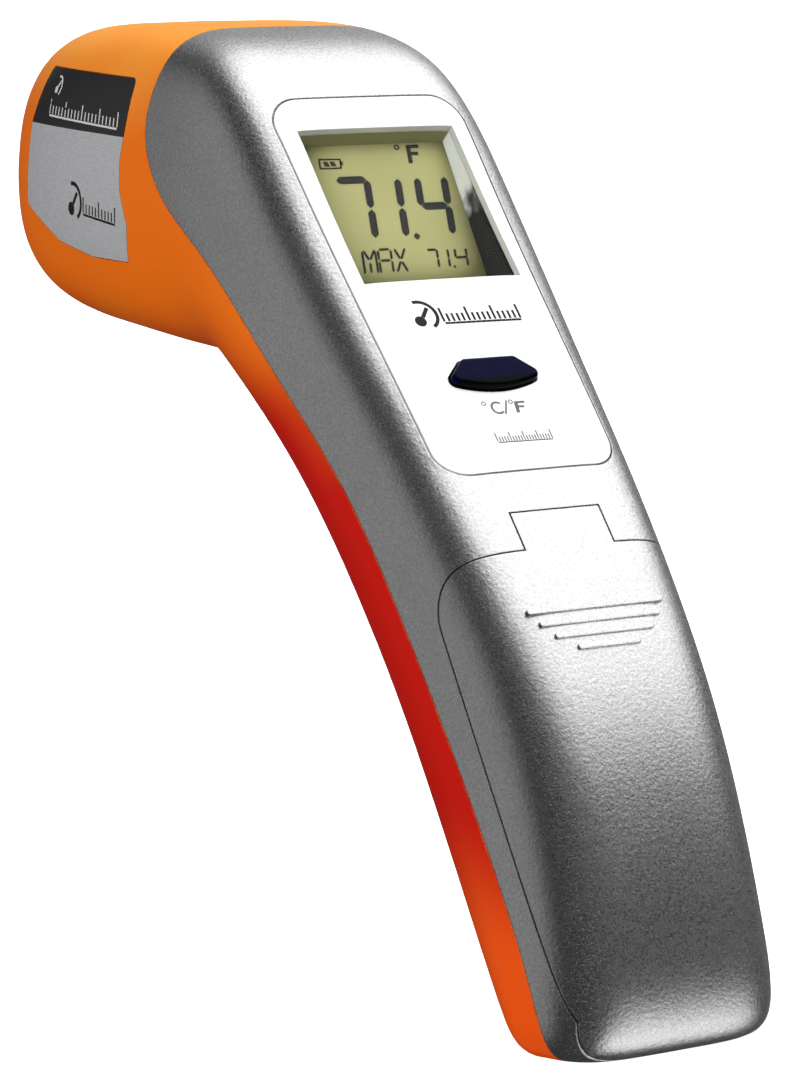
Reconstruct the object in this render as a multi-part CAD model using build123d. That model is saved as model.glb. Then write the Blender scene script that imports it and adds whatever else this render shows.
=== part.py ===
from build123d import *
import os
from math import cos, pi, radians, sin

# Handheld infrared thermometer, in millimetres.
# +X is the user's right, +Y is where the lens looks, +Z is up. The design datum lies below the flat butt of the
# handle, and save() lowers each finished piece by BUTT, so that the written parts have their origin on the butt.

os.makedirs("parts", exist_ok=True)

# ---------------------------------------------------------------- driving dimensions
BUTT = 2.8                  # height of the butt above the design datum
WALL = 2.2                  # casing wall
SEAM_GAP = 0.12             # parting line between the front and rear shells
FIT_GAP = 0.2               # gap round the battery door and the trigger
PANEL_THICK = 1.0           # display panel, flush in its recess
PANEL_TOP = (13.6, 15.8)    # half width and height above the display centre, along the back
PANEL_FOOT = (12.3, -40.9)
PANEL_CORNER = 4.0
PANEL_GAP = 0.25            # dark line round the panel
WINDOW_SIZE = (22.2, 23.2)
WINDOW_DROP = 0.7           # window centre below the display centre
WINDOW_THICK = 0.8
LCD_SLOPE = 11.3            # the display leans this much deeper towards the user's hand, degrees
LCD_DEPTH = 3.85            # depth of the display's face below the back's own plane, at its centre
LCD_SIZE = (23.4, 24.8)
LCD_THICK = 1.8
LIGHT_THICK = 2.6
BOARD_THICK = 1.6
BUTTON_DROP = 27.2          # mode button's centre below the display centre
BUTTON_PROUD = 2.0          # the cap's top above the back's own plane
BUTTON_TRAVEL = 0.8
LABEL_THICK = 0.3
CELL_RADIUS = 5.2
CELL_LENGTH = 43.6
CELL_SPACING = 11.0
CELL_NUB = (1.9, 0.9)       # radius and height of the positive end
LENS_HEIGHT = 89.4          # optical axis
LASER_HEIGHT = 98.4
NOSE_CENTRE = 92.1          # black insert round both apertures
NOSE_SIZE = (16.8, 16.0)
NOSE_CORNER = 7.0
NOSE_FACE = 127.2
TRIGGER_HALF = 6.0
PIN_RADIUS = 1.25

# Stations along the body, from the nose round to the butt of the handle. Each is a rounded section through
# a point on the back (or top) and one on the front (or belly), with its half width, the share of the depth
# where it is widest, how square its back and front halves are, and how much narrower the back is.
STATIONS = [
    # back y, z       front y, z      half   widest  back  front  taper
    (127.5, 102.2, 127.5, 82.6, 11.2, 0.50, 2.6, 2.8, 0.05),
    (126.2, 106.4, 126.2, 79.0, 14.1, 0.50, 2.8, 2.8, 0.05),
    (122.4, 109.7, 122.4, 75.8, 16.5, 0.50, 3.1, 2.8, 0.06),
    (115.0, 112.0, 115.0, 73.6, 18.3, 0.50, 3.6, 2.8, 0.07),
    (104.0, 113.0, 102.0, 72.8, 19.4, 0.50, 4.2, 2.8, 0.08),
    (86.0, 113.8, 88.0, 72.2, 19.7, 0.50, 4.9, 2.7, 0.08),
    (69.1, 110.7, 78.5, 71.5, 19.9, 0.50, 5.3, 2.4, 0.08),
    (53.2, 96.3, 68.6, 67.9, 19.9, 0.50, 5.6, 2.2, 0.09),
    (36.4, 79.1, 54.1, 57.8, 18.8, 0.50, 5.3, 2.1, 0.10),
    (18.3, 60.8, 38.1, 40.3, 17.5, 0.50, 5.0, 2.15, 0.11),
    (5.5, 45.3, 29.9, 29.2, 16.8, 0.52, 4.8, 2.2, 0.12),
    (-3.5, 29.0, 20.5, 17.0, 16.5, 0.55, 4.8, 2.2, 0.13),
    (-8.3, 15.5, 12.8, 9.6, 16.7, 0.58, 4.8, 2.2, 0.15),
    (-9.7, 8.5, 7.9, 5.7, 16.8, 0.60, 4.6, 2.2, 0.16),
    (-9.4, 4.7, 5.1, 3.8, 16.3, 0.60, 4.4, 2.3, 0.17),
    (-7.8, 2.8, 2.9, 2.8, 14.8, 0.60, 4.2, 2.4, 0.18),
]
END_SHARE = (1.0, 0.75, 0.35)  # how much of an inset the rounded ends take along the body
EIGHTH_STEPS = 4
BEYOND = 40                 # reach of the cutting solids, past the body's sides

# Parting line in the side view, from the top of the head to the butt.
SEAM = [(81.7, 118), (80.8, 108.5), (82.3, 100.2), (79.5, 95.3), (67.2, 87.2), (50.4, 74.5), (34.9, 61.1),
        (24.6, 49), (12.8, 33), (3.2, 18.8), (-2.5, 9), (-5.2, 2), (-6, -2)]

# Battery door in the side view: its top edge, its side line and its foot.
DOOR_TOP = (15.2, 57.0)
DOOR_SIDE = (20.1, 52.8)
DOOR_KNEE = (-7.6, 8.0)
DOOR_FOOT = (-8.3, -5.0)
DOOR_CORNER = 6.5
TAB_HALF = 6.1
TAB_LENGTH = 5.1
TAB_THICK = 1.6
BACK_SLOPE = 43.0           # slope of the back at the door's top edge, from vertical
TRAVEL_SLOPE = 38.0         # slope of the door's travel, from vertical

# Local planes: x is the user's right, y runs up the back and z points out of the surface.
BACK = Plane(origin=(0, 52, 93.5), x_dir=(1, 0, 0), z_dir=(0, -1, 1))
LCD = BACK * Location((0, 0, -LCD_DEPTH), (LCD_SLOPE, 0, 0))
CELL_TILT = 26.4            # the cells lie at this angle from vertical
CELL_CENTRE = (11.1, 31.5)
CELLS = Plane(origin=(0, *CELL_CENTRE), x_dir=(1, 0, 0),
              z_dir=(0, sin(radians(CELL_TILT)), cos(radians(CELL_TILT))))
TRIGGER = Plane(origin=(0, 61.5, 62.7), x_dir=(0, -0.82, -0.573), z_dir=(1, 0, 0))
OPTICS = Plane(origin=(0, 0, 0), x_dir=(1, 0, 0), z_dir=(0, 1, 0))


# ---------------------------------------------------------------- helpers
def save(shape, node):
    export_step(Pos(0, 0, -BUTT) * shape, f"parts/{node}.step")


def across(outline, half_width=BEYOND):
    """A side-view face, made solid across the body."""
    return extrude(outline, amount=half_width, both=True)


def slab(plane, outline, low, high):
    """An outline in a local plane, made solid between two heights above it."""
    return extrude(plane * Location((0, 0, low)) * outline, amount=high - low)


def block(plane, centre, size):
    """A box in a local plane, centred on a point."""
    return plane * Location(centre) * Box(*size)


def rod(plane, start, radius, length):
    """A cylinder along a local plane's z, from a start point."""
    return plane * Location((start[0], start[1], start[2] + length / 2)) * Cylinder(radius, length)


def quarter(exponent):
    """Points of a quarter of a rounded square, evenly spread from its top (0, 1) round to its side (1, 0)."""
    corner = 0.5 ** (1 / exponent)
    steps = [corner * step / EIGHTH_STEPS for step in range(EIGHTH_STEPS + 1)]
    upper = [(x, (1 - x ** exponent) ** (1 / exponent)) for x in steps]
    return upper + [(y, x) for x, y in reversed(upper[:-1])]


def section(station, inset, ahead, rise):
    """One closed, rounded section across the body, drawn this far inside the outer skin."""
    back_y, back_z, front_y, front_z, half, widest, back_power, front_power, taper = station
    back = Vector(0, back_y - ahead, back_z + rise)
    front = Vector(0, front_y - ahead, front_z + rise)
    depth = front - back
    inward = depth.normalized()
    back = back + inward * inset
    depth = depth - inward * 2 * inset
    half = half - inset
    right = [(half * x * (1 - taper * y), widest * (1 - y)) for x, y in quarter(back_power)]
    right += [(half * x, widest + (1 - widest) * y) for x, y in reversed(quarter(front_power)[:-1])]
    right = [(x, back + depth * share) for x, share in right]
    points = [Vector(x, p.Y, p.Z) for x, p in right]
    points += [Vector(-x, p.Y, p.Z) for x, p in reversed(right[1:-1])]
    return Wire(Spline(*points, periodic=True).edges())


def body_loft(inset):
    """The whole body's volume, its skin moved in by this much."""
    wires = []
    last = len(STATIONS) - 1
    for index, station in enumerate(STATIONS):
        ahead = inset * END_SHARE[index] if index < len(END_SHARE) else 0
        rise = inset * END_SHARE[last - index] if last - index < len(END_SHARE) else 0
        wires.append(section(station, inset, ahead, rise))
    return Solid.make_loft(wires)


def seam_region():
    """Everything behind the parting line."""
    line = Spline(*SEAM)
    rim = Polyline(SEAM[-1], (-BEYOND, SEAM[-1][1]), (-BEYOND, SEAM[0][1]), SEAM[0])
    return across(make_face(Plane.YZ * Wire((line + rim).edges())))


def door_region(grow):
    """Everything behind the battery door's outline, which may be grown by a gap."""
    lead = (Vector(*DOOR_TOP) - Vector(*DOOR_SIDE)).normalized() * 12
    start = Vector(*DOOR_TOP) + lead
    rim = [start, DOOR_SIDE, DOOR_KNEE, DOOR_FOOT, (-BEYOND, DOOR_FOOT[1]), (-BEYOND, start.Y)]
    face = make_face(Polyline(*rim, close=True))
    corner = face.vertices().sort_by_distance(Vector(*DOOR_SIDE))[0]
    face = fillet(corner, DOOR_CORNER)
    if grow:
        face = offset(face, amount=grow)
    return across(Plane.YZ * face)


# ---------------------------------------------------------------- casing
outer = body_loft(0)
cavity = body_loft(WALL)
shell = outer - cavity
behind_seam = seam_region()

DOOR_EDGE = Plane(origin=(0, *DOOR_TOP), x_dir=(1, 0, 0),
                  z_dir=(0, -cos(radians(BACK_SLOPE)), sin(radians(BACK_SLOPE))))
WINDOW_CENTRE = Location((0, -WINDOW_DROP, 0))


def panel_outline(grow):
    """A tall rounded trapezoid, a little narrower towards the hand."""
    right = [PANEL_TOP, PANEL_FOOT]
    left = [(-x, y) for x, y in reversed(right)]
    face = make_face(Polyline(*right, *left, close=True))
    face = fillet(face.vertices(), PANEL_CORNER)
    if grow:
        face = offset(face, amount=grow)
    return face


def button_outline(grow):
    """A trapezoid with a bowed lower edge, wider below."""
    top = 2.2
    shoulder = (6.6, -0.7)
    sides = Polyline((-shoulder[0], shoulder[1]), (-3.6, top), (3.6, top), shoulder)
    belly = ThreePointArc(shoulder, (0, -top), (-shoulder[0], shoulder[1]))
    face = make_face((sides + belly).edges())
    face = fillet(face.vertices(), 0.8)
    if grow:
        face = offset(face, amount=grow)
    return Location((0, -BUTTON_DROP, 0)) * face


def label_prism(side, grow):
    """The label's outline on one side of the nose, made solid through the casing."""
    outline = [(86.6, 107), (112.8, 107), (116.4, 99.6), (116.8, 88.8), (106.4, 84.9), (97.0, 83.7),
               (87.2, 83.9), (86.5, 88.7), (88.2, 92.8), (88.7, 96.7)]
    face = make_face(Polyline(*outline, close=True))
    face = fillet(face.vertices(), 0.7)
    if grow:
        face = offset(face, amount=grow)
    solid = extrude(Plane.YZ * face, amount=BEYOND)
    return solid if side > 0 else mirror(solid, about=Plane.YZ)


# Screw bosses join the shells just below the display panel.
BOSS_X = 8.0
BOSS_DROP = 40.8
BOSS_MEET = -14.0
SCREW_SEAT = -20.5
SCREW_SHAFT = 1.05
SCREW_HEAD = (2.2, 1.6)
REAR_BOSS = 3.0
FRONT_BOSS = 3.8

# The board's posts, in the display's plane.
POSTS = [(side * 11.0, y) for side in (-1, 1) for y in (-17.0, -34.0)]
BOARD_TOP = -(LCD_THICK + LIGHT_THICK + 0.2)
BOARD_SIZE = (26.0, 51.0)
BOARD_CENTRE = -11.5
POST_PILOT = 0.85


def make_rear_shell():
    part = shell & behind_seam
    part -= slab(BACK, panel_outline(PANEL_GAP), -12, 12) - body_loft(PANEL_THICK + 0.05)
    part -= slab(BACK, WINDOW_CENTRE * Rectangle(WINDOW_SIZE[0] + 2.8, WINDOW_SIZE[1] + 3.8), -8, 3)
    part -= slab(BACK, button_outline(1.2), -8, 3)
    inside = body_loft(WALL - 0.6)
    for x, y in POSTS:
        post = rod(LCD, (x, y, BOARD_TOP), 2.2, 16)
        part += post & inside
        part -= rod(LCD, (x, y, BOARD_TOP), POST_PILOT, 5)
    for side in (-1, 1):
        centre = (side * BOSS_X, -BOSS_DROP)
        part += rod(BACK, (*centre, BOSS_MEET), REAR_BOSS, 16) & inside
        part -= rod(BACK, (*centre, BOSS_MEET), SCREW_SHAFT + 0.05, 8)
    part -= door_region(FIT_GAP)
    part -= block(DOOR_EDGE, (0, TAB_LENGTH / 2 - 0.9, 0),
                  (2 * (TAB_HALF + FIT_GAP), TAB_LENGTH + 1.8 + 2 * FIT_GAP, 10))
    return part


# The trigger turns on a pin near its top. Its profile is in the trigger's plane: x down the grip, y out.
PIVOT = (-9.5, -5.0)
TRIGGER_RIM = [(-11.2, -2.6), (-10.2, 0.9), (-4.5, 2.5), (2.0, 1.8), (8.0, 2.5), (10.6, 0.8), (10.6, -3.0),
               (13.0, -3.5), (13.0, -4.8), (4.0, -5.3), (-6.2, -6.6)]
LUG_IN = 7.0
LUG_OUT = 8.8


def make_front_shell():
    front = (shell - Pos(0, SEAM_GAP, -SEAM_GAP / 2) * behind_seam)
    part = max(front.solids(), key=lambda piece: piece.volume)
    part -= slab(OPTICS, Location((0, -NOSE_CENTRE)) * RectangleRounded(*NOSE_SIZE, NOSE_CORNER), 115, 135)
    recess_floor = body_loft(LABEL_THICK + 0.03)
    for side in (-1, 1):
        part -= label_prism(side, 0.12) - recess_floor
    part -= block(TRIGGER, (-0.6, 0, 0), (23.8, 12, 2 * (TRIGGER_HALF + FIT_GAP)))
    inside = body_loft(WALL - 0.6)
    for side in (-1, 1):
        lug = Location((0, 0, side * (LUG_IN + LUG_OUT) / 2)) * Location((PIVOT[0], PIVOT[1] + 1.5))
        part += TRIGGER * lug * Box(6.4, 9.4, LUG_OUT - LUG_IN) & inside
        centre = (side * BOSS_X, -BOSS_DROP)
        part += rod(BACK, (*centre, BOSS_MEET - 12.5), FRONT_BOSS, 12.4) & inside
        part -= rod(BACK, (*centre, BOSS_MEET - 20), SCREW_SHAFT + 0.4, 20)
        part -= rod(BACK, (*centre, SCREW_SEAT - 15), SCREW_HEAD[0] + 0.4, 15)
    part -= TRIGGER * Location((*PIVOT, 0)) * Cylinder(PIN_RADIUS + 0.02, 2 * LUG_OUT + 2)
    return part


save(make_rear_shell(), "rear_shell")
save(make_front_shell(), "front_shell")

# Display panel with its window, and the labels on both sides of the nose, all flush with the casing.
panel = (outer - body_loft(PANEL_THICK)) & slab(BACK, panel_outline(0), -12, 12)
panel -= slab(BACK, WINDOW_CENTRE * Rectangle(*WINDOW_SIZE), -12, 12)
panel -= slab(BACK, button_outline(0.25), -12, 12)
save(panel, "display_panel")

pane = WINDOW_CENTRE * Rectangle(WINDOW_SIZE[0] - 0.1, WINDOW_SIZE[1] - 0.1)
save((outer - body_loft(WINDOW_THICK)) & slab(BACK, pane, -12, 12), "display_window")

label_skin = outer - body_loft(LABEL_THICK)
for side, node in ((-1, "left_label"), (1, "right_label")):
    save(label_skin & label_prism(side, 0), node)

# ---------------------------------------------------------------- display and electronics
bezel = slab(BACK, WINDOW_CENTRE * Rectangle(WINDOW_SIZE[0] + 2.2, WINDOW_SIZE[1] + 3.0), -12, 3)
bezel &= body_loft(PANEL_THICK + 0.1)
bezel -= slab(BACK, WINDOW_CENTRE * Rectangle(*WINDOW_SIZE), -14, 4)
bezel -= block(LCD, (0, 0, -9.95), (60, 60, 20))
save(bezel, "display_bezel")
save(block(LCD, (0, 0, -LCD_THICK / 2), (*LCD_SIZE, LCD_THICK)), "display_glass")

light_size = (LCD_SIZE[0] - 0.6, LCD_SIZE[1] - 5.2, LIGHT_THICK)
save(block(LCD, (0, 0, -LCD_THICK - LIGHT_THICK / 2 - 0.05), light_size), "display_backlight")

strips = Compound(children=[
    block(LCD, (0, side * (LCD_SIZE[1] / 2 - 1.1), -LCD_THICK - 1.4), (LCD_SIZE[0] - 1.4, 1.8, 2.78))
    for side in (-1, 1)
])
save(strips, "zebra_strips")

board = block(LCD, (0, BOARD_CENTRE, BOARD_TOP - BOARD_THICK / 2), (*BOARD_SIZE, BOARD_THICK))
for x, y in POSTS:
    board -= rod(LCD, (x, y, BOARD_TOP - BOARD_THICK - 1), 1.1, BOARD_THICK + 2)
save(board, "main_board")

UNDER = BOARD_TOP - BOARD_THICK
save(block(LCD, (0, 5.5, UNDER - 0.8), (9.5, 9.5, 1.5)), "microcontroller")
save(rod(LCD, (-7.0, -5.5, UNDER - 3.6), 4.4, 3.55), "buzzer")

small_parts = [(8.5, 10.5, 3.2, 1.6, 1.0), (8.5, 7.5, 3.2, 1.6, 1.0), (8.5, 4.5, 3.2, 1.6, 1.0),
               (-9.0, 9.5, 2.4, 5.2, 1.6), (2.5, -4.5, 1.6, 3.2, 1.1), (5.5, -4.5, 1.6, 3.2, 1.1),
               (8.5, -4.5, 1.6, 3.2, 1.1), (0.0, -34.0, 9.0, 3.4, 3.0)]
save(Compound(children=[
    block(LCD, (x, y, UNDER - 0.05 - high / 2), (wide, long, high)) for x, y, wide, long, high in small_parts
]), "board_components")


def board_screw(x, y):
    head = rod(LCD, (x, y, UNDER - 1.3), 1.8, 1.25)
    slot = block(LCD, (x, y, UNDER - 1.3), (2.6, 0.5, 0.9)) + block(LCD, (x, y, UNDER - 1.3), (0.5, 2.6, 0.9))
    return head - slot + rod(LCD, (x, y, UNDER - 0.1), POST_PILOT - 0.05, 5.5)


save(Compound(children=[board_screw(x, y) for x, y in POSTS]), "board_screws")


def case_screw(side):
    centre = (side * BOSS_X, -BOSS_DROP)
    head = rod(BACK, (*centre, SCREW_SEAT - SCREW_HEAD[1]), *SCREW_HEAD)
    cross = block(BACK, (*centre, SCREW_SEAT - SCREW_HEAD[1]), (2.8, 0.6, 1.4))
    cross += block(BACK, (*centre, SCREW_SEAT - SCREW_HEAD[1]), (0.6, 2.8, 1.4))
    return head - cross + rod(BACK, (*centre, SCREW_SEAT - 0.1), SCREW_SHAFT, 12)


save(Compound(children=[case_screw(side) for side in (-1, 1)]), "case_screws")

# ---------------------------------------------------------------- mode button and its switch
PANEL_UNDER = -1.7          # the button's flange stays this far below the panel's face
FLANGE = 0.8
PLUNGER = (1.6, 2.2)
SWITCH_SIZE = 6.0
SWITCH_HIGH = 3.6
slope = radians(LCD_SLOPE)
switch_y = (-BUTTON_DROP + BOARD_TOP * sin(slope)) / cos(slope)
switch_top = -LCD_DEPTH + switch_y * sin(slope) + (BOARD_TOP + SWITCH_HIGH) * cos(slope)
plunger_top = switch_top + 1.0

cap = slab(BACK, button_outline(0), PANEL_UNDER - FLANGE, BUTTON_PROUD)
cap = fillet(cap.faces().sort_by(Axis((0, 0, 0), BACK.z_dir))[-1].edges(), 0.55)
cap += slab(BACK, button_outline(0.9), PANEL_UNDER - FLANGE, PANEL_UNDER)
cap += rod(BACK, (0, -BUTTON_DROP, plunger_top), 1.4, PANEL_UNDER - FLANGE - plunger_top + 0.1)
save(cap, "mode_button")
save(rod(BACK, (0, -BUTTON_DROP, plunger_top - PLUNGER[1]), *PLUNGER), "switch_plunger")

switch = block(LCD, (0, switch_y, BOARD_TOP + SWITCH_HIGH / 2 + 0.02), (SWITCH_SIZE, SWITCH_SIZE, SWITCH_HIGH))
switch -= rod(BACK, (0, -BUTTON_DROP, plunger_top - PLUNGER[1] - BUTTON_TRAVEL - 0.2), PLUNGER[0] + 0.06, 8)
save(switch, "mode_switch")

# ---------------------------------------------------------------- battery door, tray and cells
GRIP_WIDTHS = (18.8, 16.6, 13.6, 8.6)
GRIP_FIRST = (10.1, 50.9)
GRIP_PITCH = 1.65
GRIP_HIGH = 0.5
GRIP_PLANE = Plane(origin=(0, *GRIP_FIRST), x_dir=(1, 0, 0),
                   z_dir=(0, -cos(radians(TRAVEL_SLOPE)), sin(radians(TRAVEL_SLOPE))))


def make_battery_door():
    tab = block(DOOR_EDGE, (0, TAB_LENGTH / 2 - 0.6, 2 - TAB_THICK / 2),
                (2 * TAB_HALF, TAB_LENGTH + 1.2, 4 + TAB_THICK))
    part = shell & behind_seam & (door_region(0) + tab)
    for row, width in enumerate(GRIP_WIDTHS):
        bar = Location((0, -row * GRIP_PITCH, 0)) * RectangleRounded(width, 0.7, 0.3)
        part += slab(GRIP_PLANE, bar, -0.8, GRIP_HIGH)
    return part


save(make_battery_door(), "battery_door")

TRAY_HALF = 11.5
TRAY_END = 25.4
TRAY_WALL = 1.2
TRAY_FLOOR = 5.5
SPRING_SEAT = 25.0
PLATE = (8.0, 8.0, 0.4)


def make_tray():
    length = 2 * (TRAY_END + TRAY_WALL)
    part = block(CELLS, (0, TRAY_FLOOR + 0.7, 0), (2 * TRAY_HALF, 1.4, length))
    for end in (-1, 1):
        part += block(CELLS, (0, 1.4, end * (TRAY_END + TRAY_WALL / 2)), (2 * TRAY_HALF, 9.6, TRAY_WALL))
        pad_high = SPRING_SEAT + PLATE[2] - CELL_LENGTH / 2 - CELL_NUB[1] - PLATE[2] - 0.05
        pad_z = end * (TRAY_END - pad_high / 2 + 0.01)
        part += block(CELLS, (-end * CELL_SPACING / 2, 1.4, pad_z), (PLATE[0], 9.6, pad_high))
    for side in (-1, 1):
        part += block(CELLS, (side * (TRAY_HALF - 0.3), 3.0, 0), (0.6, 6.4, length))
    return part & body_loft(WALL + 0.3)


save(make_tray(), "battery_tray")


def make_cell(side):
    """One AAA cell. The left one has its positive end up and the right one down."""
    x = side * CELL_SPACING / 2
    can = rod(CELLS, (x, 0, -CELL_LENGTH / 2), CELL_RADIUS, CELL_LENGTH)
    can = fillet(can.edges().filter_by(GeomType.CIRCLE), 0.4)
    up = -side
    start = CELL_LENGTH / 2 - 0.2 if up > 0 else -CELL_LENGTH / 2 - CELL_NUB[1]
    return can + rod(CELLS, (x, 0, start), CELL_NUB[0], CELL_NUB[1] + 0.2)


save(make_cell(-1), "left_cell")
save(make_cell(1), "right_cell")


def coil(centre_x, low, high, radius, wire, pitch):
    """A round coil spring between two heights along the cells."""
    path = Helix(pitch=pitch, height=high - low - 2 * wire, radius=radius)
    path = CELLS * Location((centre_x, 0, low + wire)) * path
    profile = Plane(origin=path @ 0, z_dir=path % 0) * Circle(wire)
    return sweep(profile, path=path)


seat = CELL_LENGTH / 2 + 0.02
springs = [coil(-CELL_SPACING / 2, -SPRING_SEAT, -seat, 2.6, 0.3, 1.0),
           coil(CELL_SPACING / 2, seat, SPRING_SEAT, 2.6, 0.3, 1.0)]
save(Compound(children=springs), "cell_springs")

contacts = []
for end in (-1, 1):
    spring_x = end * CELL_SPACING / 2
    contacts.append(block(CELLS, (spring_x, 0.6, end * (SPRING_SEAT + PLATE[2] / 2)), PLATE))
    nub_end = CELL_LENGTH / 2 + CELL_NUB[1] + PLATE[2] / 2 + 0.02
    contacts.append(block(CELLS, (-spring_x, 0.6, end * nub_end), PLATE))
save(Compound(children=contacts), "contact_plates")

# ---------------------------------------------------------------- optics in the nose
insert_outline = Location((0, -NOSE_CENTRE)) * RectangleRounded(NOSE_SIZE[0] - 0.1, NOSE_SIZE[1] - 0.1, NOSE_CORNER)
insert = slab(OPTICS, insert_outline, 123.0, NOSE_FACE)
insert -= OPTICS * Location((0, -LENS_HEIGHT, NOSE_FACE - 1.6)) * Cone(4.6, 6.0, 3.3)
insert -= rod(OPTICS, (0, -LENS_HEIGHT, 120), 4.6, 10)
insert -= rod(OPTICS, (0, -LASER_HEIGHT, 120), 1.1, 10)
save(insert, "nose_insert")

barrel = rod(OPTICS, (0, -LENS_HEIGHT, 104.1), 5.6, 18.8) - rod(OPTICS, (0, -LENS_HEIGHT, 100), 4.7, 30)
save(barrel, "lens_barrel")

LENS_SPHERE = 14.0
lens = rod(OPTICS, (0, -LENS_HEIGHT, 118.4), 4.65, 4)
lens &= OPTICS * Location((0, -LENS_HEIGHT, 121.4 - LENS_SPHERE)) * Sphere(LENS_SPHERE)
save(lens, "infrared_lens")

can = rod(OPTICS, (0, -LENS_HEIGHT, 101.0), 4.5, 0.5) + rod(OPTICS, (0, -LENS_HEIGHT, 101.4), 4.0, 2.6)
can -= rod(OPTICS, (0, -LENS_HEIGHT, 103.4), 1.3, 2)
save(can, "thermopile_can")
save(block(OPTICS, (0, -LENS_HEIGHT - 2, 100.1), (15, 17, 1.6)), "sensor_board")

save(rod(OPTICS, (0, -LASER_HEIGHT, 108), 3.0, 14.5) - rod(OPTICS, (0, -LASER_HEIGHT, 121.0), 1.0, 3), "laser_module")
save(rod(OPTICS, (0, -LASER_HEIGHT, 125.4), 1.05, 0.8), "laser_window")

# ---------------------------------------------------------------- trigger
profile = make_face(TRIGGER * Polyline(*TRIGGER_RIM, close=True))
trigger = extrude(profile, amount=TRIGGER_HALF, both=True)
trigger += TRIGGER * Location((*PIVOT, 0)) * Cylinder(3.0, 2 * TRIGGER_HALF)
finger_face = trigger.edges().filter_by(Axis.X).filter_by(lambda e: TRIGGER.to_local_coords(e.center()).Y > 0.5)
trigger = fillet(finger_face, 0.9)
trigger -= TRIGGER * Location((*PIVOT, 0)) * Cylinder(PIN_RADIUS + 0.06, BEYOND)
save(trigger, "trigger")
save(TRIGGER * Location((*PIVOT, 0)) * Cylinder(PIN_RADIUS, 2 * LUG_OUT), "trigger_pin")

trigger_switch = TRIGGER * Location((3.0, -10.8, 0)) * Box(6.0, 4.0, 9.0)
nose = TRIGGER * Location((3.0, -8.2, 0)) * Rotation(90, 0, 0) * Cylinder(1.2, 1.3)
save(trigger_switch + nose, "trigger_switch")
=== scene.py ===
from math import cos, pi, radians, sin

import bmesh
import bpy
from mathutils import Matrix, Vector
from mathutils.bvhtree import BVHTree
from mathutils.geometry import tessellate_polygon


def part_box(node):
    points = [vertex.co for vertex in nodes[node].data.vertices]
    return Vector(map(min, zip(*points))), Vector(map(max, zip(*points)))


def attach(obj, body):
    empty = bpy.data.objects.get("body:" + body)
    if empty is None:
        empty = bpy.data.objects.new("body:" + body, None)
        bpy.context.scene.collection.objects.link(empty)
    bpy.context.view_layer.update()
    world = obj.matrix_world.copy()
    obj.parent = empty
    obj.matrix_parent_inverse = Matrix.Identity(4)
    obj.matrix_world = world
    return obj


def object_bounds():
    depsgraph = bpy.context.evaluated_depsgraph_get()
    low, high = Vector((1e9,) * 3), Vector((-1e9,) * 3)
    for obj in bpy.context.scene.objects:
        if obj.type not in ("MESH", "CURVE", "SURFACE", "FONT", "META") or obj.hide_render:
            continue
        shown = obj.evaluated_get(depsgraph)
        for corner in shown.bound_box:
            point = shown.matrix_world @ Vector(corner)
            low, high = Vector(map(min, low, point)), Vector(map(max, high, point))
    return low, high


# A handheld infrared thermometer, standing on the butt of its handle. Metres, +X the user's right, +Y where the
# lens looks, +Z up.

MM = 0.001

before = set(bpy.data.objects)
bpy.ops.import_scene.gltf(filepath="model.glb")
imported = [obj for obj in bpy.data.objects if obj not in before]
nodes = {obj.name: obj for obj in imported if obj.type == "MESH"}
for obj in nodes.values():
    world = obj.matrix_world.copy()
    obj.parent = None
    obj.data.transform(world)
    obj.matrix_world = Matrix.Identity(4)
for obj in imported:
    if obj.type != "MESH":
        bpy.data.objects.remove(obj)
cad_low, cad_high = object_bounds()


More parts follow.
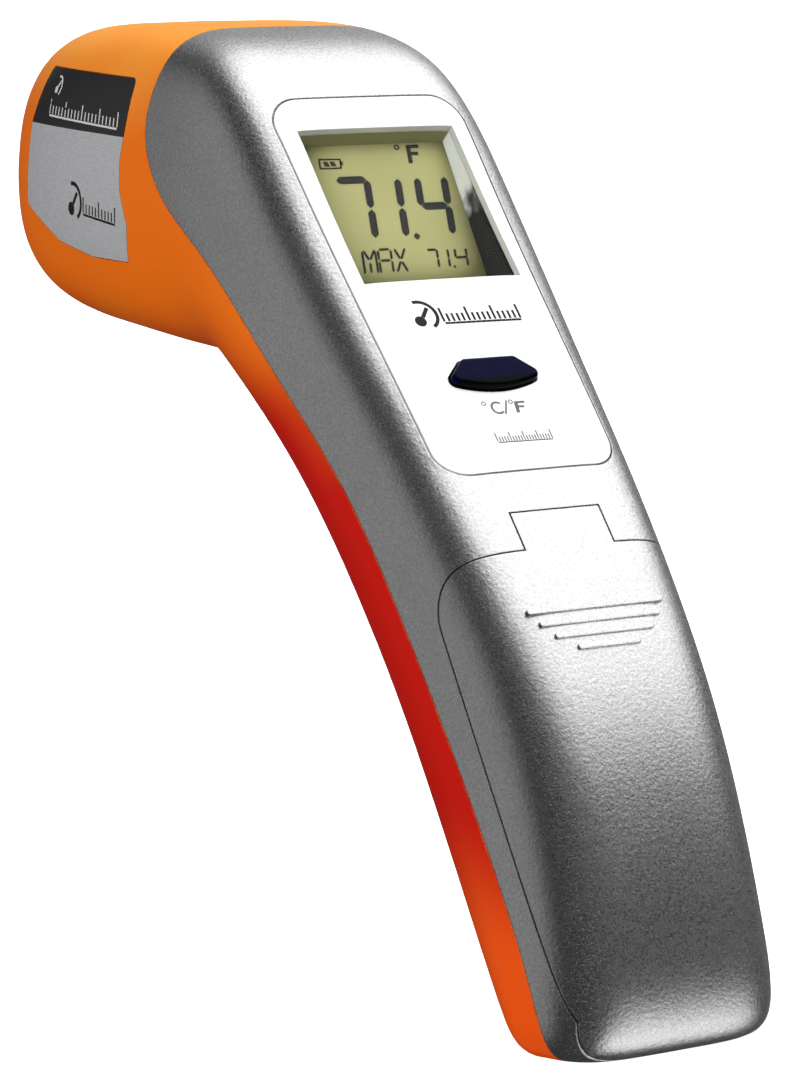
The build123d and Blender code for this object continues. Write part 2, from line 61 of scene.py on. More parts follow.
# ---------------------------------------------------------------- node helpers
class Material:
    """A Principled material, with short methods that add nodes and give back their output."""

    def __init__(self, name, color, roughness, metallic=0.0, **sockets):
        self.material = bpy.data.materials.new(name)
        self.material.use_nodes = True
        self.tree = self.material.node_tree
        self.shader = self.tree.nodes["Principled BSDF"]
        self.shader.inputs["Base Color"].default_value = (*color, 1)
        self.shader.inputs["Roughness"].default_value = roughness
        self.shader.inputs["Metallic"].default_value = metallic
        for socket, value in sockets.items():
            self.shader.inputs[socket.replace("_", " ")].default_value = value
        self.place = self.add("ShaderNodeTexCoord").outputs["Object"]

    def add(self, kind, **settings):
        node = self.tree.nodes.new(kind)
        for name, value in settings.items():
            setattr(node, name, value)
        return node

    def join(self, value, socket):
        """Sets a socket to a number or colour, or links it to an output."""
        if isinstance(value, bpy.types.NodeSocket):
            self.tree.links.new(value, socket)
        else:
            socket.default_value = value

    def set(self, name, value):
        self.join(value, self.shader.inputs[name])

    def noise(self, size, detail=3.0, stretch=(1, 1, 1)):
        """Noise whose blobs are about this many metres across."""
        scaled = self.add("ShaderNodeMapping")
        scaled.inputs["Scale"].default_value = [s / size for s in stretch]
        self.join(self.place, scaled.inputs["Vector"])
        node = self.add("ShaderNodeTexNoise")
        node.inputs["Scale"].default_value = 1.0
        node.inputs["Detail"].default_value = detail
        self.join(scaled.outputs["Vector"], node.inputs["Vector"])
        return node.outputs["Fac"]

    def cells(self, size):
        """A random grey for each flake of about this size."""
        node = self.add("ShaderNodeTexVoronoi")
        node.inputs["Scale"].default_value = 1 / size
        self.join(self.place, node.inputs["Vector"])
        split = self.add("ShaderNodeSeparateColor")
        self.join(node.outputs["Color"], split.inputs["Color"])
        return split.outputs["Red"]

    def spread(self, value, low, high, start=0.0, end=1.0, smooth=False):
        """Maps low..high to start..end, and holds the ends."""
        node = self.add("ShaderNodeMapRange", interpolation_type="SMOOTHSTEP" if smooth else "LINEAR")
        self.join(value, node.inputs["Value"])
        for name, number in zip(("From Min", "From Max", "To Min", "To Max"), (low, high, start, end)):
            node.inputs[name].default_value = number
        return node.outputs["Result"]

    def math(self, operation, *values):
        node = self.add("ShaderNodeMath", operation=operation)
        for value, socket in zip(values, node.inputs):
            self.join(value, socket)
        return node.outputs["Value"]

    def mix(self, factor, first, second):
        node = self.add("ShaderNodeMix", data_type="RGBA")
        self.join(factor, node.inputs[0])
        self.join(first, node.inputs[6])
        self.join(second, node.inputs[7])
        return node.outputs[2]

    def height(self):
        """The height of the place, in the frame's metres."""
        split = self.add("ShaderNodeSeparateXYZ")
        self.join(self.place, split.inputs["Vector"])
        return split.outputs["Z"]

    def soft_edges(self, radius):
        """The surface's normal with its sharp edges rounded."""
        node = self.add("ShaderNodeBevel", samples=4)
        node.inputs["Radius"].default_value = radius
        return node.outputs["Normal"]

    def edge_wear(self, rounded, least=0.004, most=0.05):
        """1 on the sharp edges that the rounded normal shows, and 0 elsewhere."""
        flat = self.add("ShaderNodeNewGeometry")
        dot = self.add("ShaderNodeVectorMath", operation="DOT_PRODUCT")
        self.join(rounded, dot.inputs[0])
        self.join(flat.outputs["Normal"], dot.inputs[1])
        return self.spread(self.math("SUBTRACT", 1.0, dot.outputs["Value"]), least, most)

    def bump(self, height, depth, normal=None, strength=1.0):
        node = self.add("ShaderNodeBump")
        node.inputs["Strength"].default_value = strength
        node.inputs["Distance"].default_value = depth
        self.join(height, node.inputs["Height"])
        if normal is not None:
            self.join(normal, node.inputs["Normal"])
        self.set("Normal", node.outputs["Normal"])
        return node.outputs["Normal"]


def moulded(name, color, roughness, grain, depth, worn, **sockets):
    """Moulded plastic: fine spark-eroded grain, faint flow marks and rubbed edges."""
    made = Material(name, color, roughness, **sockets)
    fine = made.noise(grain, 2.0)
    broad = made.noise(18 * MM, 2.0)
    rounded = made.soft_edges(0.18 * MM)
    wear = made.math("MULTIPLY", made.edge_wear(rounded), made.spread(made.noise(2.5 * MM), 0.35, 0.65, 0.2, 0.9))
    mottled = made.mix(made.spread(broad, 0.3, 0.7), (*[c * 0.93 for c in color], 1), (*color, 1))
    made.set("Base Color", made.mix(wear, mottled, (*worn, 1)))
    made.set("Roughness", made.spread(broad, 0.3, 0.7, roughness - 0.04, roughness + 0.05))
    made.bump(fine, depth, rounded)
    return made


def silver_paint():
    """Metallic silver paint: aluminium flakes under a satin coat, over a fine orange peel."""
    made = Material("silver_paint", (0.60, 0.60, 0.605), 0.3, 1.0)
    flakes = made.cells(0.16 * MM)
    grain = made.noise(0.30 * MM, 2.0)
    broad = made.noise(22 * MM, 2.0)
    rounded = made.soft_edges(0.2 * MM)
    wear = made.math("MULTIPLY", made.edge_wear(rounded), made.spread(made.noise(1.8 * MM), 0.4, 0.6, 0.1, 0.8))
    dark = (0.44, 0.44, 0.445, 1)
    light = (0.74, 0.74, 0.74, 1)
    speckle = made.math("ADD", made.math("MULTIPLY", flakes, 0.55), made.spread(grain, 0.3, 0.7, 0.0, 0.45))
    made.set("Base Color", made.mix(wear, made.mix(speckle, dark, light), (0.80, 0.80, 0.79, 1)))
    roughness = made.math("ADD", made.spread(flakes, 0, 1, 0.26, 0.34), made.spread(broad, 0.3, 0.7, -0.02, 0.03))
    made.set("Roughness", roughness)
    peel = made.math("ADD", made.noise(0.42 * MM, 3.0), made.math("MULTIPLY", flakes, 0.35))
    made.bump(peel, 0.04 * MM, rounded)
    return made


def orange_plastic(low, high):
    """Satin orange, with painted shade making it deeper and redder along the grip and a little at the toe than at the
    head, and a painted highlight making it paler at the crown.
    """
    made = Material("orange_plastic", (0.9, 0.14, 0.004), 0.42, Specular_IOR_Level=0.14)
    z = made.height()
    # The colours by height are painted light: painted shade deepens the grip and the toe towards red, and a painted
    # highlight pales the crown.
    head = (0.92, 0.172, 0.004, 1)
    crown_painted_highlight = (0.95, 0.38, 0.05, 1)
    grip_painted_shade = (0.58, 0.006, 0.001, 1)
    toe_painted_shade = (0.86, 0.088, 0.003, 1)
    height = high.z - low.z
    drift = made.math("ADD", z, made.spread(made.noise(30 * MM, 1.0), 0.3, 0.7, -4 * MM, 4 * MM))
    above = made.mix(made.spread(drift, 0.55 * height, 0.72 * height, smooth=True), grip_painted_shade, head)
    above = made.mix(made.spread(drift, 0.86 * height, 1.01 * height, smooth=True), above, crown_painted_highlight)
    broad = made.mix(made.spread(drift, 0.05 * height, 0.22 * height, smooth=True), toe_painted_shade, above)
    fine = made.noise(0.30 * MM, 2.0)
    rounded = made.soft_edges(0.18 * MM)
    wear = made.math("MULTIPLY", made.edge_wear(rounded), made.spread(made.noise(2.5 * MM), 0.35, 0.65, 0.1, 0.6))
    made.set("Base Color", made.mix(wear, broad, (0.98, 0.36, 0.08, 1)))
    made.set("Roughness", made.spread(made.noise(18 * MM, 2.0), 0.3, 0.7, 0.38, 0.48))
    made.bump(fine, 0.02 * MM, rounded)
    return made


def white_panel():
    """Glossy white panel, with a faint moulding wave."""
    made = Material("white_panel", (0.83, 0.83, 0.835), 0.16, Coat_Weight=0.5, Coat_Roughness=0.06)
    wave = made.noise(9 * MM, 1.0)
    rounded = made.soft_edges(0.15 * MM)
    made.set("Base Color", made.mix(made.spread(wave, 0.3, 0.7), (0.81, 0.81, 0.82, 1), (0.85, 0.85, 0.85, 1)))
    made.set("Roughness", made.spread(made.noise(1.2 * MM), 0.3, 0.7, 0.13, 0.2))
    made.bump(made.math("ADD", wave, made.math("MULTIPLY", made.noise(0.5 * MM), 0.04)), 0.02 * MM, rounded)
    return made


def clear_window():
    """Clear acrylic that lets light through and mirrors it a little, most at a glancing angle."""
    made = Material("clear_window", (1, 1, 1), 0.03)
    smudge = made.spread(made.noise(4 * MM, 3.0), 0.45, 0.7, 0.02, 0.08)
    facing = made.add("ShaderNodeLayerWeight").outputs["Facing"]
    mirrored = made.math("ADD", 0.004, made.math("MULTIPLY", made.math("POWER", facing, 5.0), 0.8))
    clear = made.add("ShaderNodeBsdfTransparent")
    clear.inputs["Color"].default_value = (0.975, 0.985, 0.98, 1)
    gloss = made.add("ShaderNodeBsdfGlossy")
    made.join(smudge, gloss.inputs["Roughness"])
    blend = made.add("ShaderNodeMixShader")
    made.join(mirrored, blend.inputs[0])
    made.join(clear.outputs["BSDF"], blend.inputs[1])
    made.join(gloss.outputs["BSDF"], blend.inputs[2])
    made.join(blend.outputs["Shader"], made.tree.nodes["Material Output"].inputs["Surface"])
    return made


def bezel_plastic(centre, up):
    """Black glossy surround of the display, with a painted pale reflection of light on the upper part of its walls,
    and a painted reflection of the olive display glass on the walls that face down.
    """
    made = Material("bezel", (0.012, 0.012, 0.013), 0.3, Specular_IOR_Level=0.05)
    apart = made.add("ShaderNodeVectorMath", operation="SUBTRACT")
    made.join(made.place, apart.inputs[0])
    apart.inputs[1].default_value = centre
    dot = made.add("ShaderNodeVectorMath", operation="DOT_PRODUCT")
    made.join(apart.outputs["Vector"], dot.inputs[0])
    dot.inputs[1].default_value = up
    cloud = made.noise(2.4 * MM, 2.0)
    # Painted light: a pale glare on the upper part of the walls, over the black plastic's own colour.
    place = made.math("ADD", dot.outputs["Value"], made.spread(cloud, 0.3, 0.7, -2.2 * MM, 2.2 * MM))
    painted_glare = made.spread(place, 0.5 * MM, 5.5 * MM, smooth=True)
    painted_glare_colour = made.mix(made.spread(cloud, 0.35, 0.65), (0.86, 0.92, 0.98, 1), (1.0, 1.0, 1.0, 1))
    walls = made.mix(painted_glare, (0.002, 0.002, 0.002, 1), painted_glare_colour)
    facing = made.add("ShaderNodeVectorMath", operation="DOT_PRODUCT")
    made.join(made.add("ShaderNodeNewGeometry").outputs["Normal"], facing.inputs[0])
    facing.inputs[1].default_value = up
    # Painted reflection: the walls that face down are coloured olive, as the display glass they mirror.
    painted_display_reflection = made.math("LESS_THAN", facing.outputs["Value"], -0.5)
    made.set("Base Color", made.mix(painted_display_reflection, walls, (0.30, 0.29, 0.11, 1)))
    made.bump(made.noise(0.3 * MM), 0.006 * MM)
    return made


def lcd_glass(centre, across, up, half_width, half_height):
    """Olive display glass, with painted shade from the bezel making it darker and greener towards its rim."""
    made = Material("lcd", (0.50, 0.47, 0.20), 0.45, Specular_IOR_Level=0.1)
    from_centre = made.add("ShaderNodeVectorMath", operation="SUBTRACT")
    made.join(made.place, from_centre.inputs[0])
    from_centre.inputs[1].default_value = centre
    reach = []
    for axis, half in ((across, half_width), (up, half_height)):
        dot = made.add("ShaderNodeVectorMath", operation="DOT_PRODUCT")
        made.join(from_centre.outputs["Vector"], dot.inputs[0])
        dot.inputs[1].default_value = axis
        reach.append(made.math("POWER", made.math("DIVIDE", made.math("ABSOLUTE", dot.outputs["Value"]), half), 4.0))
    # Painted shade: the bezel's shadow darkens the glass towards its rim.
    rim_painted_shade = made.spread(made.math("ADD", *reach), 0.05, 1.1, smooth=True)
    face = made.mix(made.spread(made.noise(7 * MM), 0.3, 0.7), (0.42, 0.395, 0.165, 1), (0.46, 0.43, 0.18, 1))
    made.set("Base Color", made.mix(rim_painted_shade, face, (0.13, 0.125, 0.04, 1)))
    made.bump(made.noise(0.2 * MM), 0.004 * MM)
    return made


def label_print(side, band):
    """Printed nameplate: silver foil with a black band on top."""
    made = Material("label_" + side, (0.5, 0.5, 0.52), 0.34, 0.6)
    z = made.height()
    grain = made.noise(0.35 * MM, 2.0, (1, 0.25, 3))
    foil = made.mix(made.spread(grain, 0.3, 0.7), (0.54, 0.545, 0.56, 1), (0.68, 0.685, 0.70, 1))
    black = made.math("GREATER_THAN", z, band)
    made.set("Base Color", made.mix(black, foil, (0.010, 0.010, 0.012, 1)))
    made.set("Metallic", made.spread(black, 0, 1, 0.35, 0.0))
    made.set("Roughness", made.spread(black, 0, 1, 0.42, 0.30))
    made.bump(grain, 0.006 * MM)
    return made


def button_plastic(edge, up):
    """Glossy navy plastic, with painted shade making it black below a line across the button."""
    made = Material("navy_plastic", (0.003, 0.003, 0.05), 0.22, Specular_IOR_Level=0.03)
    apart = made.add("ShaderNodeVectorMath", operation="SUBTRACT")
    made.join(made.place, apart.inputs[0])
    apart.inputs[1].default_value = edge
    dot = made.add("ShaderNodeVectorMath", operation="DOT_PRODUCT")
    made.join(apart.outputs["Vector"], dot.inputs[0])
    dot.inputs[1].default_value = up
    swirl = made.noise(1.5 * MM, 2.0)
    # Painted shade: below the line the button is coloured black, where it is lit less.
    upper = made.spread(dot.outputs["Value"], -0.25 * MM, 0.35 * MM, smooth=True)
    navy = made.mix(made.spread(swirl, 0.3, 0.7), (0.001, 0.001, 0.012, 1), (0.002, 0.002, 0.026, 1))
    rounded = made.soft_edges(0.2 * MM)
    wear = made.math("MULTIPLY", made.edge_wear(rounded), made.spread(swirl, 0.4, 0.65, 0.0, 0.5))
    body = made.mix(upper, (0.001, 0.001, 0.001, 1), navy)
    made.set("Base Color", made.mix(wear, body, (0.02, 0.022, 0.10, 1)))
    made.set("Roughness", made.spread(swirl, 0.3, 0.7, 0.18, 0.3))
    made.bump(made.noise(2.0 * MM), 0.004 * MM, rounded)
    return made


def metal(name, color, roughness, grain=(1, 1, 1)):
    """Plated or turned metal with fine tool marks."""
    made = Material(name, color, roughness, 1.0)
    marks = made.noise(0.3 * MM, 3.0, grain)
    rounded = made.soft_edges(0.1 * MM)
    made.set("Base Color", made.mix(made.spread(marks, 0.3, 0.7), (*[c * 0.8 for c in color], 1), (*color, 1)))
    made.set("Roughness", made.spread(marks, 0.3, 0.7, roughness - 0.06, roughness + 0.1))
    made.bump(marks, 0.01 * MM, rounded)
    return made


def circuit_board():
    """Green solder mask with copper tracks showing through."""
    made = Material("circuit_board", (0.015, 0.13, 0.05), 0.35, Coat_Weight=0.3)
    tracks = made.add("ShaderNodeTexBrick")
    tracks.inputs["Scale"].default_value = 0.4 / MM
    tracks.inputs["Mortar Size"].default_value = 0.08
    made.join(made.place, tracks.inputs["Vector"])
    made.set("Base Color", made.mix(tracks.outputs["Fac"], (0.01, 0.11, 0.04, 1), (0.04, 0.24, 0.09, 1)))
    made.bump(tracks.outputs["Fac"], 0.03 * MM)
    return made


JACKET_END = 40 * MM


def cell_jacket():
    """Printed battery jacket: dark sleeve with a copper-coloured end, by height along the cell."""
    made = Material("cell", (0.02, 0.02, 0.025), 0.28, 0.3, Coat_Weight=0.4)
    z = made.height()
    top = made.math("GREATER_THAN", z, JACKET_END)
    wrinkle = made.noise(1.5 * MM, 2.0)
    dark = made.mix(wrinkle, (0.015, 0.015, 0.02, 1), (0.03, 0.03, 0.036, 1))
    made.set("Base Color", made.mix(top, dark, (0.55, 0.26, 0.08, 1)))
    made.bump(wrinkle, 0.02 * MM)
    return made


# ---------------------------------------------------------------- places read from the frame
def flat_face(node, towards):
    """The centre and the normal of the node's surface that looks this way."""
    mesh = nodes[node].data
    aim = Vector(towards).normalized()
    facing = [p for p in mesh.polygons if p.normal.dot(aim) > 0.97]
    area = sum(p.area for p in facing)
    centre = sum((p.center * p.area for p in facing), Vector()) / area
    normal = sum((p.normal * p.area for p in facing), Vector()).normalized()
    return centre, normal


def surface_tree(node):
    """The node's surface, for finding where a line meets it."""
    mesh = nodes[node].data
    return BVHTree.FromPolygons([v.co for v in mesh.vertices], [p.vertices for p in mesh.polygons])


def sheet_frame(centre, normal):
    """A matrix whose x is the user's right, y runs up the surface and z out of it."""
    right = Vector((1, 0, 0))
    up = normal.cross(right).normalized()
    right = up.cross(normal)
    return Matrix.Translation(centre) @ Matrix((right, up, normal)).transposed().to_4x4()


back_out = Vector((0, -1, 1)).normalized()
lcd_centre, lcd_out = flat_face("display_glass", back_out)
LCD = sheet_frame(lcd_centre, lcd_out)
window_low, window_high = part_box("display_window")
window_centre = (window_low + window_high) / 2
BACK = sheet_frame(lcd_centre, back_out)


# ---------------------------------------------------------------- materials on the CAD nodes
lcd_axes = LCD.to_3x3()
LCD_HALF = (11.4 * MM, 11.0 * MM)
LCD_SEEN = LCD @ Vector((1.0 * MM, 2.6 * MM, 0))

SILVER = silver_paint()
ORANGE = orange_plastic(cad_low, cad_high)
BLACK = moulded("black_plastic", (0.012, 0.012, 0.013), 0.34, 0.3 * MM, 0.015 * MM, (0.09, 0.09, 0.09))
TRIGGER = moulded("trigger_plastic", (0.012, 0.013, 0.03), 0.42, 0.3 * MM, 0.02 * MM, (0.08, 0.085, 0.12))
# The button's painted shade starts at a line across it, about this point.
NAVY = button_plastic(BACK @ Vector((0, -28.3 * MM, 0)), BACK.to_3x3().col[1])
CHIP = moulded("chip", (0.02, 0.02, 0.021), 0.5, 0.15 * MM, 0.01 * MM, (0.06, 0.06, 0.06))
COMPONENT = moulded("component", (0.42, 0.34, 0.22), 0.45, 0.15 * MM, 0.01 * MM, (0.6, 0.55, 0.45))
LIGHT = moulded("backlight", (0.82, 0.82, 0.78), 0.3, 0.5 * MM, 0.01 * MM, (0.9, 0.9, 0.88))
STRIP = moulded("rubber", (0.35, 0.16, 0.15), 0.7, 0.3 * MM, 0.02 * MM, (0.5, 0.3, 0.3))
LENS = moulded("lens", (0.62, 0.66, 0.66), 0.22, 0.8 * MM, 0.003 * MM, (0.7, 0.74, 0.74), Coat_Weight=0.3,
               Subsurface_Weight=0.15)
STEEL = metal("steel", (0.56, 0.56, 0.58), 0.3)
NICKEL = metal("spring_steel", (0.66, 0.65, 0.62), 0.25, (0.2, 1, 1))
BRASS = metal("brass", (0.72, 0.50, 0.20), 0.28, (1, 0.1, 1))

BAND_HIGH = 7.4 * MM
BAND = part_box("left_label")[1].z - BAND_HIGH    # lower edge of the black band on the labels

MATERIALS = {
    SILVER: ["rear_shell", "battery_door"],
    ORANGE: ["front_shell"],
    white_panel(): ["display_panel"],
    clear_window(): ["display_window", "laser_window"],
    bezel_plastic(window_centre, lcd_axes.col[1]): ["display_bezel"],
    BLACK: ["nose_insert", "battery_tray", "trigger_switch", "mode_switch", "buzzer"],
    lcd_glass(LCD_SEEN, lcd_axes.col[0], lcd_axes.col[1], *LCD_HALF): ["display_glass"],
    NAVY: ["mode_button"],
    TRIGGER: ["trigger"],
    label_print("left", BAND): ["left_label"],
    label_print("right", BAND): ["right_label"],
    LENS: ["infrared_lens"],
    STEEL: ["board_screws", "case_screws", "trigger_pin", "thermopile_can"],
    NICKEL: ["cell_springs", "contact_plates"],
    BRASS: ["laser_module", "lens_barrel"],
    circuit_board(): ["main_board", "sensor_board"],
    CHIP: ["microcontroller"],
    COMPONENT: ["board_components", "switch_plunger"],
    LIGHT: ["display_backlight"],
    STRIP: ["zebra_strips"],
    cell_jacket(): ["left_cell", "right_cell"],
}
for made, names in MATERIALS.items():
    for name in names:
        nodes[name].data.materials.clear()
        nodes[name].data.materials.append(made.material)


# ---------------------------------------------------------------- printed and displayed shapes
def add_piece(name, mesh, material, body):
    piece = bpy.data.objects.new(name, mesh)
    bpy.context.scene.collection.objects.link(piece)
    mesh.materials.append(material)
    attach(piece, body)
    return piece


def on_plane(base):
    """Places a drawing's point on a flat surface."""
    return lambda x, y, height: base @ Vector((x * MM, y * MM, height))


def on_surface(node, base):
    """Places a drawing's point on the node's curved surface, straight below the drawing's plane."""
    tree = surface_tree(node)
    out = base.to_3x3().col[2].normalized()

    def place(x, y, height):
        above = base @ Vector((x * MM, y * MM, 20 * MM))
        return tree.ray_cast(above, -out)[0] + out * height
    return place


def print_on(name, shapes, place, thick, material):
    """Flat shapes, drawn in millimetres, as thin solid plates; each is a list of loops, of which any after the
    first are holes."""
    made = bmesh.new()
    for loops in shapes:
        points = [point for loop in loops for point in loop]
        low, high = ([made.verts.new(place(*point, height)) for point in points] for height in (-thick, thick))
        for a, b, c in tessellate_polygon([[Vector((*point, 0)) for point in loop] for loop in loops]):
            made.faces.new((low[a], low[b], low[c]))
            made.faces.new((high[c], high[b], high[a]))
        first = 0
        for loop in loops:
            for index in range(len(loop)):
                a, b = first + index, first + (index + 1) % len(loop)
                made.faces.new((low[a], low[b], high[b], high[a]))
            first += len(loop)
    bmesh.ops.recalc_face_normals(made, faces=made.faces)
    mesh = bpy.data.meshes.new(name)
    made.to_mesh(mesh)
    made.free()
    return add_piece(name, mesh, material, "housing")


def bar(start, end, stroke):
    """A bar with pointed ends."""
    a, b = Vector(start), Vector(end)
    along = (b - a).normalized()
    side = Vector((-along.y, along.x)) * stroke / 2
    tip = along * stroke / 2
    return [[a, a + tip + side, b - tip + side, b, b - tip - side, a + tip - side]]


def line(start, end, stroke):
    """A bar with square ends."""
    a, b = Vector(start), Vector(end)
    along = (b - a).normalized()
    side = Vector((-along.y, along.x)) * stroke / 2
    return [[a + side, b + side, b - side, a - side]]


def circle(centre, radius, steps=24):
    angles = [2 * pi * step / steps for step in range(steps)]
    return [Vector(centre) + Vector((cos(a), sin(a))) * radius for a in angles]


def ring(centre, radius, stroke):
    return [circle(centre, radius + stroke / 2), circle(centre, radius - stroke / 2)]


def arc(centre, radius, start, end, stroke, steps=20):
    """A round bow from one angle to another, in degrees."""
    angles = [radians(start + (end - start) * step / steps) for step in range(steps + 1)]
    outer = [Vector(centre) + Vector((cos(a), sin(a))) * (radius + stroke / 2) for a in angles]
    inner = [Vector(centre) + Vector((cos(a), sin(a))) * (radius - stroke / 2) for a in angles]
    return [outer + inner[::-1]]


def diamond(centre, reach):
    x, y = centre
    return [[(x, y - reach), (x + reach, y), (x, y + reach), (x - reach, y)]]


def shifted(shape, x, y):
    return [[(a + x, b + y) for a, b in loop] for loop in shape]


# A seven-segment figure: each segment from one corner to another, in half heights.
CORNERS = {"tl": (0, 2), "tr": (1, 2), "ml": (0, 1), "mr": (1, 1), "bl": (0, 0), "br": (1, 0)}
SEGMENTS = {"a": ("tl", "tr"), "b": ("tr", "mr"), "c": ("mr", "br"), "d": ("bl", "br"), "e": ("ml", "bl"),
            "f": ("tl", "ml"), "g": ("ml", "mr")}
FIGURES = {"7": "abc", "1": "bc", "4": "bcfg"}
LEAN = 0.165


def leaning(corner, width, height, x, y):
    """A point of a letter's unit box, leaning a little to the right."""
    return Vector((corner[0] + x * width + y * height * LEAN, corner[1] + y * height))


def segment_figure(figure, corner, width, height, stroke):
    bars = []
    for segment in FIGURES[figure]:
        first, second = (CORNERS[name] for name in SEGMENTS[segment])
        a = leaning(corner, width, height, first[0], first[1] / 2)
        b = leaning(corner, width, height, second[0], second[1] / 2)
        lead = (b - a).normalized() * stroke * 0.08
        bars.append(bar(a + lead, b - lead, stroke))
    return bars


def letter(lines, corner, width, height, stroke, shape=line):
    """A letter drawn with straight bars between points of its unit box."""
    return [shape(leaning(corner, width, height, *start), leaning(corner, width, height, *end), stroke)
            for start, end in lines]


INK = Material("lcd_segments", (0.014, 0.014, 0.012), 0.35, Specular_IOR_Level=0.1)
INK.bump(INK.noise(0.3 * MM), 0.004 * MM)

LCD_LIFT = Matrix.Translation(lcd_out * 0.04 * MM) @ LCD
PLATE = 0.03 * MM
FOOT = -1.8
TALL = 8.1
SMALL_FOOT = -6.2
SMALL = 2.45
WORD_FOOT = -6.5
WORD = 3.15

reading = []
for figure, left, width in (("7", -7.3, 4.4), ("1", -2.5, 4.0), ("4", 4.35, 3.9)):
    reading += segment_figure(figure, (left, FOOT), width, TALL, 1.0)
for figure, left, width in (("7", 3.35, 1.4), ("1", 4.9, 1.4), ("4", 7.35, 1.6)):
    reading += segment_figure(figure, (left, SMALL_FOOT), width, SMALL, 0.3)
reading += [diamond((3.0, FOOT), 0.5), diamond((7.0, SMALL_FOOT), 0.2)]
LETTER_M = [((0, 0), (0, 0.95)), ((0.1, 1), (0.46, 0.58)), ((0.54, 0.58), (0.95, 1)), ((0.5, 0.02), (0.5, 0.45)),
            ((1, 0), (1, 0.95))]
LETTER_A = [((0, 0), (0, 0.49)), ((0, 0.54), (0, 0.96)), ((0.08, 1), (0.92, 1)), ((0.1, 0.52), (0.9, 0.52)),
            ((1, 0.55), (1, 0.96)), ((1, 0), (1, 0.49))]
LETTER_X = [((0, 0), (0.45, 0.45)), ((0.55, 0.55), (1, 1)), ((0, 1), (0.44, 0.56)), ((0.56, 0.44), (1, 0))]
for lines, left, width in ((LETTER_M, -5.95, 1.85), (LETTER_A, -3.7, 1.8), (LETTER_X, -1.35, 1.5)):
    reading += letter(lines, (left, WORD_FOOT), width, WORD, 0.3, bar)
LETTER_F = [[(0, 0), (0.27, 0), (0.34, 0.44), (0.82, 0.42), (0.85, 0.6), (0.37, 0.62), (0.42, 0.83), (0.98, 0.81),
             (1.02, 1), (0.16, 1)]]
BATTERY = [[(0, 0.05), (3.1, 0), (3.2, 0.5), (3.45, 0.5), (3.5, 1.0), (3.3, 1.0), (3.35, 1.4), (0.2, 1.5)],
           [(0.22, 0.22), (0.4, 1.3), (3.13, 1.22), (2.93, 0.19)]]
reading.append([[(5.25 + x * 2.1, 8.3 + y * 2.55) for x, y in loop] for loop in LETTER_F])
reading.append(ring((4.2, 10.6), 0.3, 0.16))
reading.append(shifted(BATTERY, -7.65, 7.9))
for left in (-6.8, -5.85):
    reading.append([[(left, 8.3), (left + 0.7, 8.3), (left + 0.45, 8.95), (left - 0.1, 8.95)]])
print_on("lcd_reading", reading, on_plane(LCD_LIFT), PLATE, INK.material)

# Prints on the white panel: a small thermometer sign with a scale below the display, and the units below the button.
PRINT = Material("black_print", (0.012, 0.012, 0.013), 0.4, Specular_IOR_Level=0.1)
PRINT.bump(PRINT.noise(0.25 * MM), 0.004 * MM)
GREY_PRINT = Material("grey_print", (0.13, 0.13, 0.135), 0.4, Specular_IOR_Level=0.1)
GREY_PRINT.bump(GREY_PRINT.noise(0.25 * MM), 0.004 * MM)
ON_PANEL = on_surface("display_panel", BACK)
INK_LIFT = 0.015 * MM


def thermometer_sign(centre, size):
    """A bulb with a stem, inside a bow."""
    x, y = centre
    return [[circle((x - 0.26 * size, y - 0.28 * size), 0.2 * size)],
            line((x - 0.12 * size, y - 0.13 * size), (x + 0.16 * size, y + 0.22 * size), 0.13 * size),
            arc((x - 0.12 * size, y - 0.05 * size), 0.52 * size, -62, 105, 0.12 * size)]


def scale(start, end, count, long, short, stroke):
    """A graduated scale: a dashed base line with every fifth tick longer."""
    a, b = Vector(start), Vector(end)
    step = (b - a) / count
    up = Vector((-step.y, step.x)).normalized()
    drawn = []
    for index in range(count + 1):
        foot = a + step * index + up * stroke * 0.8
        drawn.append(line(foot, foot + up * (long if index % 5 == 0 else short), stroke))
    for index in range(count):
        drawn.append(line(a + step * (index + 0.02), a + step * (index + 0.98), stroke))
    return drawn


sign = thermometer_sign((-5.0, -17.4), 3.9) + scale((-2.8, -19.0), (8.0, -19.1), 15, 2.1, 1.2, 0.32)
print_on("panel_sign", sign, ON_PANEL, INK_LIFT, PRINT.material)

units = [ring((-2.95, -31.2), 0.26, 0.14), arc((-1.3, -31.95), 0.8, 45, 315, 0.28),
         line((-0.6, -32.95), (0.3, -30.95), 0.22), ring((0.8, -31.2), 0.26, 0.14),
         [[(1.0 + x * 1.7, -32.85 + y * 1.65) for x, y in LETTER_F[0]]]]
units += scale((-3.4, -36.9), (4.2, -37.0), 20, 1.3, 0.7, 0.16)
print_on("panel_units", units, ON_PANEL, INK_LIFT, GREY_PRINT.material)

# Prints on both labels: a white scale on the band and a black thermometer sign on the foil. The drawing's x runs
# towards the handle and its y up, in the frame's millimetres.
WHITE_PRINT = Material("white_print", (0.72, 0.72, 0.73), 0.4)
WHITE_PRINT.bump(WHITE_PRINT.noise(0.25 * MM), 0.004 * MM)
BAND_MM = BAND / MM
for side, node in ((-1, "left_label"), (1, "right_label")):
    face = Matrix(((0, 0, side), (-1, 0, 0), (0, 1, 0))).to_4x4()
    place = on_surface(node, face)
    white = scale((-110.2, BAND_MM + 1.3), (-90.0, BAND_MM + 0.9), 20, 1.9, 1.1, 0.26)
    white += thermometer_sign((-108.6, BAND_MM + 5.3), 2.3)
    print_on(node + "_scale", white, place, INK_LIFT, WHITE_PRINT.material)
    black = thermometer_sign((-100.6, BAND_MM - 8.9), 4.4)
    black += scale((-98.3, BAND_MM - 10.6), (-89.6, BAND_MM - 11.2), 10, 2.0, 1.2, 0.3)
    print_on(node + "_sign", black, place, INK_LIFT, PRINT.material)


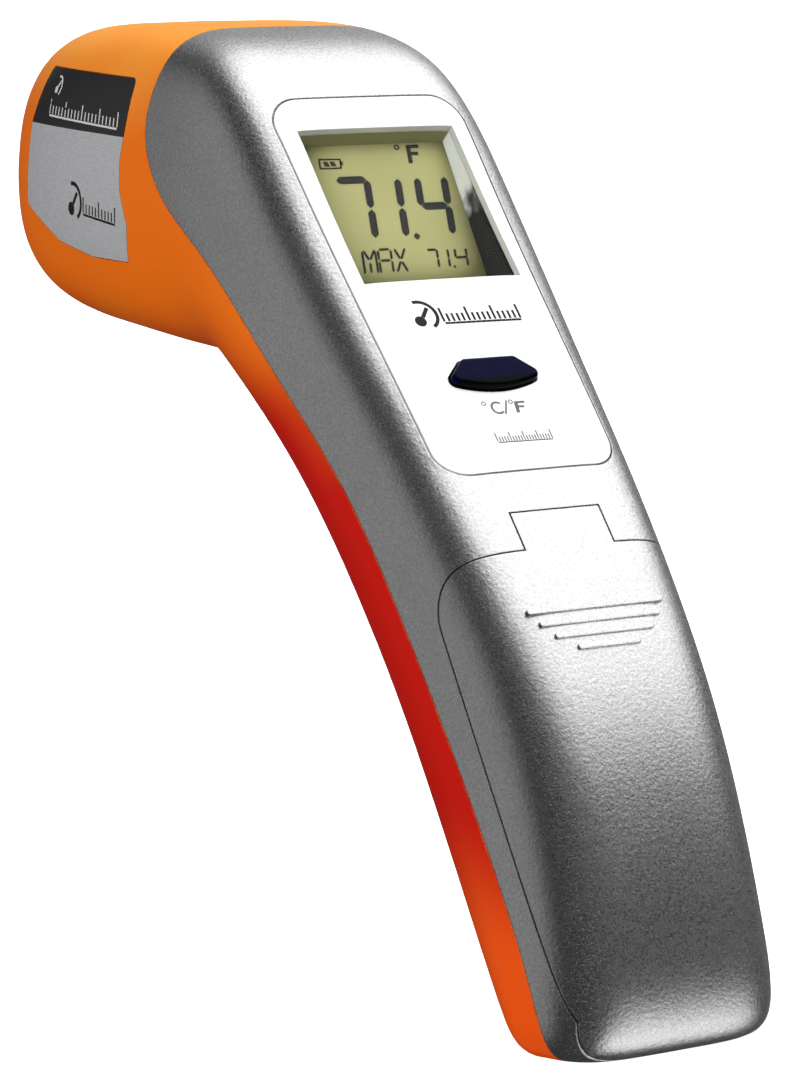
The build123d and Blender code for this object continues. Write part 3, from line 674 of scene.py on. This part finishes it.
# ---------------------------------------------------------------- floor, light and camera
def floor():
    size = 3.0
    mesh = bpy.data.meshes.new("floor")
    mesh.from_pydata([(x * size, y * size, 0) for x, y in ((-1, -1), (1, -1), (1, 1), (-1, 1))], [], [(0, 1, 2, 3)])
    piece = bpy.data.objects.new("floor", mesh)
    bpy.context.scene.collection.objects.link(piece)
    paper = Material("paper", (0.9, 0.9, 0.9), 0.9)
    paper.bump(paper.noise(3 * MM), 0.05 * MM)
    paper.set("Emission Color", (1, 1, 1, 1))
    paper.set("Emission Strength", 0.97)
    mesh.materials.append(paper.material)
    piece.visible_glossy = False
    piece.visible_diffuse = False
    piece.visible_shadow = False


floor()


class Studio(Material):
    """The world's nodes, with the same methods as a material."""

    def __init__(self):
        self.world = bpy.data.worlds.new("studio")
        bpy.context.scene.world = self.world
        self.world.use_nodes = True
        self.tree = self.world.node_tree
        self.place = self.add("ShaderNodeTexCoord").outputs["Generated"]

    def lobe(self, direction, inner, outer, strength):
        """A soft round patch of light in one direction, full within the inner angle and gone at the outer."""
        dot = self.add("ShaderNodeVectorMath", operation="DOT_PRODUCT")
        self.join(self.place, dot.inputs[0])
        dot.inputs[1].default_value = Vector(direction).normalized()
        return self.spread(dot.outputs["Value"], cos(radians(outer)), cos(radians(inner)), 0, strength, True)


studio = Studio()
# Each lobe's direction, inner and outer angle in degrees, and strength.
LOBES = [
    ((0.40, -0.05, 0.87), 20, 50, 2.1),      # overhead softbox
    ((0.45, 0.8, 0.35), 12, 42, 0.25),      # far wall, mirrored in the top of the head
    ((-0.8, 0.6, 0.0), 10, 42, 0.31),       # dim far left, mirrored in the left flank
    ((0.85, 0.5, 0.0), 10, 40, 0.1),        # dim far right, mirrored in the right end of the head
    ((0.5, -0.75, -0.62), 8, 34, 1.6),      # bounce from the table in front
]
AMBIENT = 0.05
light = AMBIENT
for lobe in LOBES:
    light = studio.math("ADD", light, studio.lobe(*lobe))
background = studio.tree.nodes["Background"]
studio.join(light, background.inputs["Strength"])
background.inputs["Color"].default_value = (1, 1, 1, 1)


def lamp(name, direction, distance, size, power):
    """A soft lamp for the matt surfaces, which the glossy ones don't mirror."""
    data = bpy.data.lights.new(name, "AREA")
    data.shape = "SQUARE"
    data.size = size
    data.energy = power
    piece = bpy.data.objects.new(name, data)
    bpy.context.scene.collection.objects.link(piece)
    towards = Vector(direction).normalized()
    piece.matrix_world = Matrix.Translation(towards * distance) @ towards.to_track_quat("Z", "Y").to_matrix().to_4x4()
    piece.visible_glossy = False


lamp("left_lamp", (-0.85, -0.45, 0.4), 1.0, 0.6, 6.9)
lamp("top_lamp", (0.2, -0.55, 0.85), 1.0, 0.6, 4.1)
lamp("low_lamp", (-0.6, 0.3, -0.7), 1.0, 0.6, 3.0)


def camera():
    """A long lens from behind and to the left of the instrument, a little above it."""
    aim = Vector((2.434, 55.901, 48.359)) * MM
    distance = 514.84 * MM
    azimuth, elevation, roll = radians(-32.11), radians(9.95), radians(0.66)
    away = Vector((sin(azimuth) * cos(elevation), -cos(azimuth) * cos(elevation), sin(elevation)))
    data = bpy.data.cameras.new("camera")
    data.lens = 137.95
    data.sensor_width = 36.0
    data.clip_start = 0.01
    eye = bpy.data.objects.new("camera", data)
    bpy.context.scene.collection.objects.link(eye)
    turn = (-away).to_track_quat("-Z", "Y").to_matrix() @ Matrix.Rotation(roll, 3, "Z")
    eye.matrix_world = Matrix.Translation(aim + away * distance) @ turn.to_4x4()
    bpy.context.scene.camera = eye


camera()
bpy.context.scene.view_settings.view_transform = "Standard"
